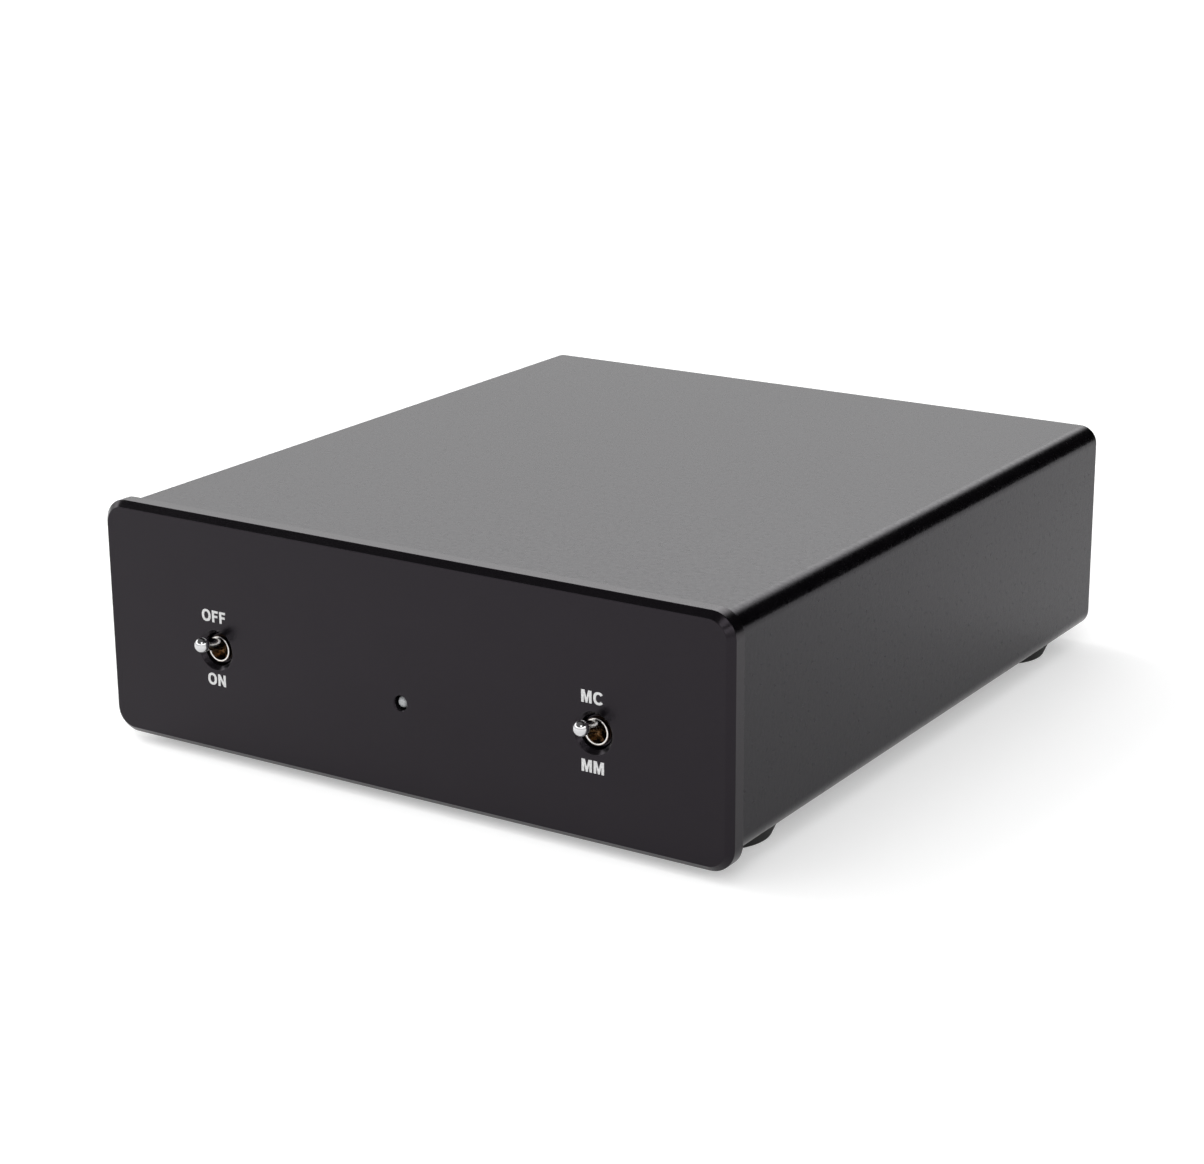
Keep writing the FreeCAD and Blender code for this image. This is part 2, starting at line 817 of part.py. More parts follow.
def dc_inlet_body():
    end = rear_face + jack_flange_thick
    flange = rod_back(inlet_flange_radius, rear_face, end, inlet_x, socket_z)
    neck = rod_back(inlet_neck_radius, end - inlet_length, rear_face, inlet_x, socket_z)
    bore = rod_back(inlet_bore, end - inlet_bore_depth, end + over, inlet_x, socket_z)
    pin_hole = hole_back(inlet_pin_radius, end - inlet_length, end, inlet_x, socket_z)
    return fused([flange, neck]).cut(bore).cut(pin_hole)


def dc_inlet_pin():
    end = rear_face + jack_flange_thick
    start = end - inlet_length - inlet_pin_tail
    return rod_back(inlet_pin_radius, start, end - inlet_bore_depth + inlet_pin_length, inlet_x, socket_z)


def dc_inlet_nut():
    start = rear_inside - inlet_nut_height
    nut = hexagon(inlet_nut_across, at(inlet_x, start, socket_z), along, inlet_nut_height)
    return nut.cut(hole_back(inlet_neck_radius + thread_gap, start, rear_inside, inlet_x, socket_z))


def all_nodes():
    nodes = {}
    for make in (front_panel, front_panel_screws, enclosure_sleeve, chassis_tray, rear_panel,
                 rear_panel_screws, foot_screws, foot_nuts, circuit_board, board_standoffs, board_screws,
                 switch_connectors, led_lens, led_leads, led_holder, film_capacitors,
                 electrolytic_capacitors, op_amps, relays, regulator_heat_sink, resistors, jack_contacts,
                 jack_insulators, jack_nuts, rear_leads, ground_stud, ground_hex_nuts, ground_washer,
                 ground_thumb_nut, dc_inlet_body, dc_inlet_pin, dc_inlet_nut):
        nodes[make.__name__] = make()
    for name, place in foot_places().items():
        nodes["foot_" + name] = foot(*place)
    for name, x in jack_places.items():
        nodes[name + "_jack_shell"] = jack_shell(x)
    for name, x in switch_places.items():
        nodes[name + "_body"] = switch_body(x)
        nodes[name + "_bushing"] = switch_bushing(x)
        nodes[name + "_lever"] = switch_lever(x)
        nodes[name + "_rocker"] = switch_rocker(x)
        nodes[name + "_terminals"] = switch_terminals(x)
        nodes[name + "_front_nut"] = switch_front_nut(x)
        nodes[name + "_lock_washer"] = switch_lock_washer(x)
        nodes[name + "_rear_nut"] = switch_rear_nut(x, flange_back + washer_thick)
        nodes[name + "_leads"] = switch_leads(x)
    return nodes


def write_parts():
    os.makedirs("parts", exist_ok=True)
    for name, shape in all_nodes().items():
        shape.exportStep(os.path.join("parts", name + ".step"))
        bounds = shape.BoundBox
        print(name, shape.isValid(), len(shape.Solids), round(shape.Volume, 2),
              [round(value, 2) for value in (bounds.XMin, bounds.XMax, bounds.YMin, bounds.YMax,
                                             bounds.ZMin, bounds.ZMax)])
    print("front face y", round(front_face_y, 4), "levers pivot z", round(switch_z, 4))


write_parts()
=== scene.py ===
# %% [markdown]
# # A small black phono preamp
# The object is a folded metal sleeve with a thick front plate, two bat-lever toggle switches, a tiny
# indicator and a row of sockets behind. Its looks rest on three things: the soft gloss of black metal
# under white surroundings, the crisp narrow bevels where metal is cut, and the bright little levers.
# The construction is loaded first as a fixed frame. Nothing below moves or resizes it.

import json
import math

import bmesh
import bpy
from mathutils import Matrix, Vector


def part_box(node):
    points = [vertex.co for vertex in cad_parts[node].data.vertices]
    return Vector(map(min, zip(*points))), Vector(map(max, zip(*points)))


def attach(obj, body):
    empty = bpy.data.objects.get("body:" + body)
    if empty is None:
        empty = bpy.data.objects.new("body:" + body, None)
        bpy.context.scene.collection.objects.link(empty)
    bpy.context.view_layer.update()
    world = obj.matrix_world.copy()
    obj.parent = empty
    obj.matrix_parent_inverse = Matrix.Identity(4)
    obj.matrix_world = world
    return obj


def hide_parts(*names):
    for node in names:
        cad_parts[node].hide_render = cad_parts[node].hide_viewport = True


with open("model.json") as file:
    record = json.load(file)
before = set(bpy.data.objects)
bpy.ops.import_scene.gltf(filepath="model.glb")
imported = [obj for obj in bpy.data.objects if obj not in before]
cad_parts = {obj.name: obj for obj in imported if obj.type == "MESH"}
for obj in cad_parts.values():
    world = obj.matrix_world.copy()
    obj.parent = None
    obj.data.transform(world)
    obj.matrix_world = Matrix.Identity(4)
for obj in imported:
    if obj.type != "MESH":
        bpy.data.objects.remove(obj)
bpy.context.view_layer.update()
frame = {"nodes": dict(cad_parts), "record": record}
MM = 0.001
plate_low, plate_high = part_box("front_panel")
sleeve_back_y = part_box("enclosure_sleeve")[1][1]
face_y = plate_low[1]
plate_middle_z = (plate_low[2] + plate_high[2]) / 2
print("front face at y", round(face_y, 5), "plate middle at z", round(plate_middle_z, 5))

# %% [markdown]
# ## The camera
# The photograph was taken with a longish lens from the front right, a little above the box. The
# direction, distance and lens below were found from the box's straight edges. The camera is built from
# its three axes, because a slight roll is easier to add there than to a set of turning angles.

# %% Camera
camera_azimuth = math.radians(32.93)
camera_elevation = math.radians(17.37)
camera_roll = math.radians(-0.42)
camera_distance = 613.2 * MM
camera_right_offset = 45.59 * MM
camera_up_offset = 21.24 * MM
camera_lens_mm = 82.18
sensor_width_mm = 36.0


def camera_axes(azimuth, elevation, roll):
    """The camera's right, up and backward directions."""
    backward = Vector((math.sin(azimuth) * math.cos(elevation),
                       -math.cos(azimuth) * math.cos(elevation),
                       math.sin(elevation)))
    right = (-backward).cross(Vector((0, 0, 1))).normalized()
    up = right.cross(-backward)
    turned_right = math.cos(roll) * right + math.sin(roll) * up
    turned_up = math.cos(roll) * up - math.sin(roll) * right
    return turned_right, turned_up, backward


right, up, backward = camera_axes(camera_azimuth, camera_elevation, camera_roll)
plate_centre = Vector((0, face_y, plate_middle_z))
camera_place = (plate_centre + backward * camera_distance
                + right * camera_right_offset + up * camera_up_offset)
camera_data = bpy.data.cameras.new("photo_camera")
camera_data.sensor_fit = "HORIZONTAL"
camera_data.sensor_width = sensor_width_mm
camera_data.lens = camera_lens_mm
camera = bpy.data.objects.new("photo_camera", camera_data)
bpy.context.scene.collection.objects.link(camera)
turn = Matrix((right, up, backward)).transposed().to_4x4()
camera.matrix_world = Matrix.Translation(camera_place) @ turn
bpy.context.scene.camera = camera
print("camera at", [round(value, 4) for value in camera_place])

# %% [markdown]
# ## Building finishes
# Each finish is one Principled shader. Small noise patterns in Object coordinates vary its colour and
# roughness and raise a fine grain, so that the surface never looks like one flat colour. The helper
# keeps every finish to the same few choices.

# %% A finish helper
def finish_material(name, colour, roughness, metallic=0.0, specular=0.5, tint=(1, 1, 1)):
    """A Principled material, its shader and its node tree. The tint colours the gloss seen face on."""
    material = bpy.data.materials.new(name)
    material.use_nodes = True
    shader = material.node_tree.nodes["Principled BSDF"]
    shader.inputs["Base Color"].default_value = (*colour, 1.0)
    shader.inputs["Roughness"].default_value = roughness
    shader.inputs["Metallic"].default_value = metallic
    shader.inputs["Specular IOR Level"].default_value = specular
    shader.inputs["Specular Tint"].default_value = (*tint, 1.0)
    return material, shader, material.node_tree


def noise(tree, scale, detail=2.0, stretch=(1, 1, 1)):
    """A noise pattern in object coordinates; scale is in features per metre."""
    place = tree.nodes.new("ShaderNodeTexCoord")
    mapping = tree.nodes.new("ShaderNodeMapping")
    mapping.inputs["Scale"].default_value = stretch
    pattern = tree.nodes.new("ShaderNodeTexNoise")
    pattern.inputs["Scale"].default_value = scale
    pattern.inputs["Detail"].default_value = detail
    tree.links.new(place.outputs["Object"], mapping.inputs["Vector"])
    tree.links.new(mapping.outputs["Vector"], pattern.inputs["Vector"])
    return pattern.outputs["Fac"]


# Nearly all of a noise pattern lies between these two values.
pattern_low, pattern_high = 0.3, 0.7


def vary_colour(tree, shader, pattern, low, high):
    ramp = tree.nodes.new("ShaderNodeValToRGB")
    ramp.color_ramp.elements[0].position = pattern_low
    ramp.color_ramp.elements[0].color = (*low, 1.0)
    ramp.color_ramp.elements[1].position = pattern_high
    ramp.color_ramp.elements[1].color = (*high, 1.0)
    tree.links.new(pattern, ramp.inputs["Fac"])
    tree.links.new(ramp.outputs["Color"], shader.inputs["Base Color"])


def vary_roughness(tree, shader, pattern, low, high):
    spread = tree.nodes.new("ShaderNodeMapRange")
    spread.inputs["From Min"].default_value = pattern_low
    spread.inputs["From Max"].default_value = pattern_high
    spread.inputs["To Min"].default_value = low
    spread.inputs["To Max"].default_value = high
    tree.links.new(pattern, spread.inputs["Value"])
    tree.links.new(spread.outputs["Result"], shader.inputs["Roughness"])


def raise_grain(tree, shader, pattern, height, strength=1.0):
    """Height is in metres."""
    bump = tree.nodes.new("ShaderNodeBump")
    bump.inputs["Distance"].default_value = height
    bump.inputs["Strength"].default_value = strength
    tree.links.new(pattern, bump.inputs["Height"])
    tree.links.new(bump.outputs["Normal"], shader.inputs["Normal"])


# %% [markdown]
# ## The finishes of this object
# The front plate is bead-blasted aluminium, anodised black. The sleeve wears a thin powder coat with a
# slightly coarser, rounded grain that sparkles where light grazes it. Both are so dark that nearly all
# the light they send back is gloss, so their own colour is almost nothing, and a faint violet tint lies
# in the gloss, as it does on black dye. Plated metals get faint turning marks, and rubber and plastic
# get their own dull grain.

# %% Black finishes
violet_gloss = (0.98, 0.86, 1.0)
cool_gloss = (0.92, 0.84, 1.0)
dye = (0.0016, 0.0014, 0.0018)
dye_thin, dye_thick = (0.0020, 0.0017, 0.0022), (0.0012, 0.0010, 0.0014)
clouds_per_metre = 70
mottles_per_metre = 800


def satin_black(name, roughness, mottle, grain_size, grain_height, specular, tint=violet_gloss):
    """Black metal: almost no colour of its own, a soft, mottled gloss and a fine raised grain."""
    material, shader, tree = finish_material(name, dye, roughness, specular=specular, tint=tint)
    vary_colour(tree, shader, noise(tree, clouds_per_metre), dye_thick, dye_thin)
    mottles = noise(tree, mottles_per_metre, 3.0)
    vary_roughness(tree, shader, mottles, (1 - mottle) * roughness, (1 + mottle) * roughness)
    raise_grain(tree, shader, noise(tree, 1 / grain_size, 4.0), grain_height)
    return material


def anodised_black():
    return satin_black("anodised_black", 0.22, 0.1, 0.40 * MM, 0.007 * MM, 0.28)


def powder_black():
    return satin_black("powder_black", 0.22, 0.3, 0.8 * MM, 0.022 * MM, 0.22, cool_gloss)


def blackened_steel():
    return satin_black("blackened_steel", 0.32, 0.1, 0.3 * MM, 0.002 * MM, 0.5)


def rubber_black():
    material, shader, tree = finish_material("rubber_black", (0.012, 0.012, 0.012), 0.75, specular=0.35)
    vary_colour(tree, shader, noise(tree, 400), (0.009, 0.009, 0.009), (0.018, 0.018, 0.018))
    raise_grain(tree, shader, noise(tree, 3000), 0.02 * MM, 0.6)
    return material


def moulded(name, colour, roughness=0.5):
    """Moulded plastic: nearly even, with a faint orange-peel grain."""
    material, shader, tree = finish_material(name, colour, roughness)
    darker = tuple(0.88 * value for value in colour)
    vary_colour(tree, shader, noise(tree, 300), darker, colour)
    raise_grain(tree, shader, noise(tree, 1800), 0.01 * MM, 0.4)
    return material


# %% Metal finishes
def plated(name, colour, roughness, turned=0.3):
    """Plated or turned metal, with faint marks round its length."""
    material, shader, tree = finish_material(name, colour, roughness, metallic=1.0)
    lines = noise(tree, 3000, 2.0, stretch=(0.15, 3.0, 0.15))
    vary_roughness(tree, shader, lines, roughness * 0.8, roughness * 1.3)
    darker = tuple(0.85 * value for value in colour)
    vary_colour(tree, shader, noise(tree, 500), darker, colour)
    raise_grain(tree, shader, lines, 0.003 * MM, turned)
    return material


def clear_lens():
    """The indicator's resin: milky, so it looks pale grey while it is unlit."""
    material, shader, tree = finish_material("clear_lens", (0.36, 0.37, 0.38), 0.3)
    shader.inputs["Transmission Weight"].default_value = 0.12
    shader.inputs["IOR"].default_value = 1.5
    vary_colour(tree, shader, noise(tree, 900), (0.34, 0.35, 0.36), (0.47, 0.48, 0.49))
    raise_grain(tree, shader, noise(tree, 2500), 0.004 * MM, 0.3)
    return material


def bright_nickel():
    """The rims' plating, a little warmer than chrome."""
    return plated("bright_nickel", (0.82, 0.80, 0.77), 0.16, 0.15)


def label_white():
    material, shader, tree = finish_material("label_white", (0.58, 0.58, 0.58), 0.55)
    vary_colour(tree, shader, noise(tree, 2500), (0.52, 0.52, 0.52), (0.64, 0.64, 0.64))
    raise_grain(tree, shader, noise(tree, 4000), 0.004 * MM, 0.4)
    return material


# %% [markdown]
# ## Giving the frame its finishes
# Every carried-over node has material slots named in the record. One table says which finish each slot
# takes, so a new slot without a finish is noticed at once.

# %% One finish per slot
finishes = {
    "panel_anodised": anodised_black(),
    "sleeve_coat": powder_black(),
    "rubber_black": rubber_black(),
    "steel_zinc": plated("steel_zinc", (0.56, 0.57, 0.58), 0.32),
    "steel_black": blackened_steel(),
    "chrome_plate": plated("chrome_plate", (0.66, 0.66, 0.67), 0.13, 0.15),
    "brass_inside": plated("brass_inside", (0.56, 0.40, 0.25), 0.18),
    "copper_tin": plated("copper_tin", (0.66, 0.66, 0.65), 0.35),
    "gold_plate": plated("gold_plate", (0.83, 0.62, 0.26), 0.2),
    "heat_sink_black": plated("heat_sink_black", (0.04, 0.04, 0.04), 0.45),
    "board_green": moulded("board_green", (0.03, 0.16, 0.08), 0.35),
    "plastic_black": moulded("plastic_black", (0.014, 0.014, 0.015), 0.42),
    "plastic_white": moulded("plastic_white", (0.78, 0.78, 0.74), 0.45),
    "plastic_blue": moulded("plastic_blue", (0.04, 0.08, 0.30), 0.25),
    "switch_case": moulded("switch_case", (0.28, 0.03, 0.025), 0.45),
    "led_clear": clear_lens(),
    "lead_red": moulded("lead_red", (0.45, 0.04, 0.03), 0.4),
    "lead_black": moulded("lead_black", (0.02, 0.02, 0.02), 0.4),
    "resistor_body": moulded("resistor_body", (0.20, 0.38, 0.50), 0.3),
}
node_slot = {}
for entry in frame["record"]["subparts"]:
    node_slot[entry["node"]] = entry["material_slot"]
for name, node in frame["nodes"].items():
    for material_slot in node.material_slots:
        material_slot.material = finishes[node_slot[name]]
print("finishes:", len(finishes), "nodes:", len(frame["nodes"]))

# %% [markdown]
# ## Crisp edges
# Real cut metal never has a perfectly sharp edge. A bevel a tenth of a millimetre wide catches a thin
# bright line, which the eye reads as metal. The frame's own meshes must stay as they are, so each
# visible node gets a merged copy, whose flat faces are joined before its edges are bevelled. Smooth
# shading would then make the flats look like pillows. Weighted normals stop that: the largest face at
# a corner sets its normal, so flats stay flat and only the narrow bevels turn.

# %% Dressed copies of frame nodes
SHARP = math.radians(32)
FLAT = math.radians(0.5)
merge_distance = 0.002 * MM


def add_piece(name, mesh, material, body):
    piece = bpy.data.objects.new(name, mesh)
    bpy.context.scene.collection.objects.link(piece)
    mesh.materials.clear()
    mesh.materials.append(material)
    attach(piece, body)
    return piece


def smooth_by_angle(mesh):
    for face in mesh.polygons:
        face.use_smooth = True
    mesh.set_sharp_from_angle(angle=SHARP)


def merged_copy(node):
    """The node's mesh with doubles merged and flat triangles joined."""
    shape = bmesh.new()
    shape.from_mesh(frame["nodes"][node].data)
    bmesh.ops.remove_doubles(shape, verts=shape.verts, dist=merge_distance)
    bmesh.ops.dissolve_limit(shape, angle_limit=FLAT, verts=shape.verts, edges=shape.edges)
    mesh = bpy.data.meshes.new(node + "_merged")
    shape.to_mesh(mesh)
    shape.free()
    return mesh


def bevelled(mesh, width, segments=3):
    """The mesh with every edge sharper than SHARP rounded off, smoothly shaded with flats kept flat."""
    smooth_by_angle(mesh)
    scratch = bpy.data.objects.new("bevel_scratch", mesh)
    bpy.context.scene.collection.objects.link(scratch)
    bevel = scratch.modifiers.new("edge", "BEVEL")
    bevel.width = width
    bevel.segments = segments
    bevel.limit_method = "ANGLE"
    bevel.angle_limit = SHARP
    bevel.use_clamp_overlap = True
    flatten = scratch.modifiers.new("flats", "WEIGHTED_NORMAL")
    flatten.keep_sharp = True
    flatten.weight = 100
    graph = bpy.context.evaluated_depsgraph_get()
    result = bpy.data.meshes.new_from_object(scratch.evaluated_get(graph))
    bpy.data.objects.remove(scratch)
    return result


def dress(node, width, body="housing", segments=3):
    """Stands a bevelled, smoothly shaded copy in the node's place."""
    mesh = bevelled(merged_copy(node), width, segments)
    slot = node_slot[node]
    piece = add_piece(node + "_dressed", mesh, finishes[slot], body)
    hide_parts(node)
    print(node, len(mesh.polygons), "faces")
    return piece


bevel_widths = {
    "front_panel": 0.2, "enclosure_sleeve": 0.18, "rear_panel": 0.15,
    "foot_front_left": 0.5, "foot_front_right": 0.5, "foot_rear_left": 0.5, "foot_rear_right": 0.5,
    "power_switch_front_nut": 0.12, "cartridge_switch_front_nut": 0.12,
    "power_switch_bushing": 0.1, "cartridge_switch_bushing": 0.1,
    "input_left_jack_shell": 0.2, "input_right_jack_shell": 0.2,
    "output_left_jack_shell": 0.2, "output_right_jack_shell": 0.2,
    "ground_hex_nuts": 0.15, "dc_inlet_body": 0.2,
}
for node, width in bevel_widths.items():
    dress(node, width * MM)
dress("ground_thumb_nut", 0.12 * MM, "ground_thumb_nut", 2)
dress("ground_washer", 0.1 * MM, "ground_washer", 2)

# %% [markdown]
# ## The bat levers
# A toggle's lever is a turned and polished bat: thin at its root, swelling to a rounded tip. It is the
# brightest thing on the box, so it is spun here from a fine profile rather than left with the frame's
# facets. It lies along one line and is then tilted about its cross pin, as the frame's lever is.

# %% Spin the levers
pivot_behind_face = 5.9 * MM
lever_tilt = math.radians(14.0)
lever_length = 10.9 * MM
tip_radius = 1.85 * MM
root_radius = 1.3 * MM
neck_radius = 1.6 * MM
ball_radius = 1.75 * MM
tail_length = 5.8 * MM
tail_radius = 0.7 * MM
pin_radius = 0.6 * MM
pin_reach = 2.85 * MM
on_axis = 1e-7


def arc(centre, radius, start, stop, steps):
    """Points (along, radius) on a circle about a place on the lever's axis, angles in degrees."""
    points = []
    for step in range(steps + 1):
        angle = math.radians(start + (stop - start) * step / steps)
        points.append((centre + radius * math.cos(angle), radius * math.sin(angle)))
    return points


def lever_profile():
    """From the tail's end, over the ball and up the bat, to the middle of the tip."""
    tail_angle = 180 - math.degrees(math.asin(tail_radius / ball_radius))
    root_angle = math.degrees(math.asin(root_radius / ball_radius))
    tip_start = 180 - math.degrees(math.asin(neck_radius / tip_radius))
    profile = arc(-tail_length, tail_radius, 180, 90, 10)
    profile += arc(0, ball_radius, tail_angle, root_angle, 18)
    profile += arc(lever_length, tip_radius, tip_start, 0, 26)
    return profile


def spun(profile, turns=64):
    """A closed mesh turned about the X axis, its two ends meeting on the axis."""
    shape = bmesh.new()
    rings = []
    for along, radius in profile:
        if radius < on_axis:
            rings.append([shape.verts.new((along, 0, 0))])
            continue
        ring = []
        for step in range(turns):
            angle = 2 * math.pi * step / turns
            ring.append(shape.verts.new((along, radius * math.cos(angle), radius * math.sin(angle))))
        rings.append(ring)
    for low, high in zip(rings, rings[1:]):
        for step in range(turns):
            after = (step + 1) % turns
            corners = [low[step % len(low)], low[after % len(low)], high[after % len(high)],
                       high[step % len(high)]]
            shape.faces.new(list(dict.fromkeys(corners)))
    bmesh.ops.recalc_face_normals(shape, faces=shape.faces)
    return shape


def lever_mesh(pivot):
    shape = spun(lever_profile())
    bmesh.ops.create_cone(shape, cap_ends=True, segments=32, radius1=pin_radius, radius2=pin_radius,
                          depth=2 * pin_reach,
                          matrix=Matrix.Rotation(math.pi / 2, 4, "X"))
    forward = Matrix.Rotation(-math.pi / 2, 4, "Z")
    tilt = Matrix.Rotation(-lever_tilt, 4, "X")
    bmesh.ops.transform(shape, verts=shape.verts, matrix=Matrix.Translation(pivot) @ tilt @ forward)
    mesh = bpy.data.meshes.new("lever")
    shape.to_mesh(mesh)
    shape.free()
    smooth_by_angle(mesh)
    return mesh


def switch_centre(switch):
    low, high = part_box(switch + "_bushing")
    return (low[0] + high[0]) / 2, (low[2] + high[2]) / 2


for switch in ("power_switch", "cartridge_switch"):
    centre_x, centre_z = switch_centre(switch)
    pivot = Vector((centre_x, face_y + pivot_behind_face, centre_z))
    lever = add_piece(switch + "_bat", lever_mesh(pivot), finishes["chrome_plate"], switch + "_lever")
    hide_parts(switch + "_lever")
    frame_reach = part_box(switch + "_lever")[0][1]
    reach = min(vertex.co.y for vertex in lever.data.vertices)
    print(switch, "tip at", round(reach, 5), "frame's at", round(frame_reach, 5))

# %% [markdown]
# ## Bright rims
# Each switch's bushing is bright where it faces out, dark brown down its throat and black round its
# thread. A thin polished ring over the rim gives those changes at a clean line, with its edges rolled a
# little, so that it catches light all the way round. A second, black ring closes the thread's start.

# %% Rims
rim_inner = 2.68 * MM
rim_outer = 3.04 * MM
thread_outer = 3.19 * MM
rim_lift = 0.04 * MM
rim_roll = 0.09 * MM
thread_roll = 0.06 * MM
rim_skirt = 0.2 * MM
roll_steps = 4
weld_distance = 0.0001 * MM


def rim_profile(inner, outer, roll):
    """A ring's rolled front and flat back, as (along, radius) with along forward."""
    profile = [(-rim_skirt, inner)]
    quarter = [math.pi / 2 * step / roll_steps for step in range(roll_steps + 1)]
    for edge, inward, angles in ((inner, 1, quarter), (outer, -1, reversed(quarter))):
        for angle in angles:
            along = rim_lift - roll + roll * math.sin(angle)
            profile.append((along, edge + inward * roll * (1 - math.cos(angle))))
    return profile + [(-rim_skirt, outer), (-rim_skirt, inner)]


def placed_mesh(name, shape, place):
    """The shape's doubles merged, its normals turned outward, and the result moved to its place."""
    bmesh.ops.remove_doubles(shape, verts=shape.verts, dist=weld_distance)
    bmesh.ops.recalc_face_normals(shape, faces=shape.faces)
    bmesh.ops.transform(shape, verts=shape.verts, matrix=place)
    mesh = bpy.data.meshes.new(name)
    shape.to_mesh(mesh)
    shape.free()
    smooth_by_angle(mesh)
    return mesh


rim_finish = bright_nickel()
for switch in ("power_switch", "cartridge_switch"):
    centre_x, centre_z = switch_centre(switch)
    front_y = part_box(switch + "_bushing")[0][1]
    place = Matrix.Translation((centre_x, front_y, centre_z)) @ Matrix.Rotation(-math.pi / 2, 4, "Z")
    bright = placed_mesh("rim", spun(rim_profile(rim_inner, rim_outer, rim_roll)), place)
    rim = add_piece(switch + "_rim", bright, rim_finish, "housing")
    dark = placed_mesh("thread_start", spun(rim_profile(rim_outer, thread_outer, thread_roll)), place)
    collar = add_piece(switch + "_thread_start", dark, finishes["steel_black"], "housing")
    print(switch, "rim", len(bright.polygons), "faces")

# %% [markdown]
# ## Threads and screw heads
# Threads and screw heads repeat by a rule, so Geometry Nodes make them. One tree lays thin rings along
# a threaded rod at its pitch. The other cuts a cross recess into a round head and sets a copy on each
# corner of a rectangle. Both end in real geometry, which is then baked to a plain mesh.

# %% Geometry Nodes helpers
def new_tree(name, sizes):
    """A tree with named inputs and one geometry output; sizes maps a name to its socket type."""
    tree = bpy.data.node_groups.new(name, "GeometryNodeTree")
    tree.interface.new_socket("Geometry", in_out="OUTPUT", socket_type="NodeSocketGeometry")
    for label, kind in sizes.items():
        tree.interface.new_socket(label, in_out="INPUT", socket_type=kind)
    return tree, tree.nodes.new("NodeGroupInput"), tree.nodes.new("NodeGroupOutput")


def finish_tree(tree, output, geometry, material):
    """Realize, shade smooth where the tree asked for it, set the material and hand the result over."""
    realize = tree.nodes.new("GeometryNodeRealizeInstances")
    paint = tree.nodes.new("GeometryNodeSetMaterial")
    paint.inputs["Material"].default_value = material
    tree.links.new(geometry, realize.inputs["Geometry"])
    tree.links.new(realize.outputs["Geometry"], paint.inputs["Geometry"])
    tree.links.new(paint.outputs["Geometry"], output.inputs["Geometry"])


def bake_tree(tree, values):
    """The mesh that a tree makes from the given values."""
    holder = bpy.data.objects.new("tree_scratch", bpy.data.meshes.new("tree_scratch"))
    bpy.context.scene.collection.objects.link(holder)
    modifier = holder.modifiers.new("tree", "NODES")
    modifier.node_group = tree
    for item in tree.interface.items_tree:
        if item.in_out == "INPUT":
            modifier[item.identifier] = values[item.name]
    graph = bpy.context.evaluated_depsgraph_get()
    result = bpy.data.meshes.new_from_object(holder.evaluated_get(graph))
    bpy.data.objects.remove(holder)
    return result


# %% The thread tree
def thread_tree(material):
    sizes = {"Radius": "NodeSocketFloat", "Ridge": "NodeSocketFloat", "Turns": "NodeSocketInt",
             "Pitch": "NodeSocketVector", "Start": "NodeSocketVector"}
    tree, given, output = new_tree("thread_rings", sizes)
    circle = tree.nodes.new("GeometryNodeCurvePrimitiveCircle")
    circle.inputs["Resolution"].default_value = 64
    profile = tree.nodes.new("GeometryNodeCurvePrimitiveCircle")
    profile.inputs["Resolution"].default_value = 8
    sweep = tree.nodes.new("GeometryNodeCurveToMesh")
    line = tree.nodes.new("GeometryNodeMeshLine")
    copies = tree.nodes.new("GeometryNodeInstanceOnPoints")
    copies.inputs["Rotation"].default_value = (math.pi / 2, 0, 0)
    smooth = tree.nodes.new("GeometryNodeSetShadeSmooth")
    link = tree.links.new
    link(given.outputs["Radius"], circle.inputs["Radius"])
    link(given.outputs["Ridge"], profile.inputs["Radius"])
    link(circle.outputs["Curve"], sweep.inputs["Curve"])
    link(profile.outputs["Curve"], sweep.inputs["Profile Curve"])
    link(given.outputs["Turns"], line.inputs["Count"])
    link(given.outputs["Start"], line.inputs["Start Location"])
    link(given.outputs["Pitch"], line.inputs["Offset"])
    link(line.outputs["Mesh"], copies.inputs["Points"])
    link(sweep.outputs["Mesh"], smooth.inputs["Geometry"])
    link(smooth.outputs["Geometry"], copies.inputs["Instance"])
    finish_tree(tree, output, copies.outputs["Instances"], material)
    return tree


ridge_share = 0.22


def thread_piece(name, slot, centre, radius, pitch, start_y, end_y):
    """Rings that stand a little proud of a plain rod along Y."""
    turns = max(2, int((end_y - start_y) / pitch))
    values = {"Radius": radius, "Ridge": ridge_share * pitch, "Turns": turns, "Pitch": (0, pitch, 0),
              "Start": (centre[0], start_y + pitch / 2, centre[1])}
    mesh = bake_tree(thread_tree(finishes[slot]), values)
    piece = add_piece(name, mesh, finishes[slot], "housing")
    print(name, turns, "turns,", len(mesh.polygons), "faces")


stud_low, stud_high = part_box("ground_stud")
stud_centre = ((stud_low[0] + stud_high[0]) / 2, (stud_low[2] + stud_high[2]) / 2)
stud_pitch = 0.7 * MM
stud_ring_radius = 1.9 * MM
thread_piece("ground_stud_thread", "gold_plate", stud_centre, stud_ring_radius, stud_pitch,
             sleeve_back_y, stud_high[1] - stud_pitch)

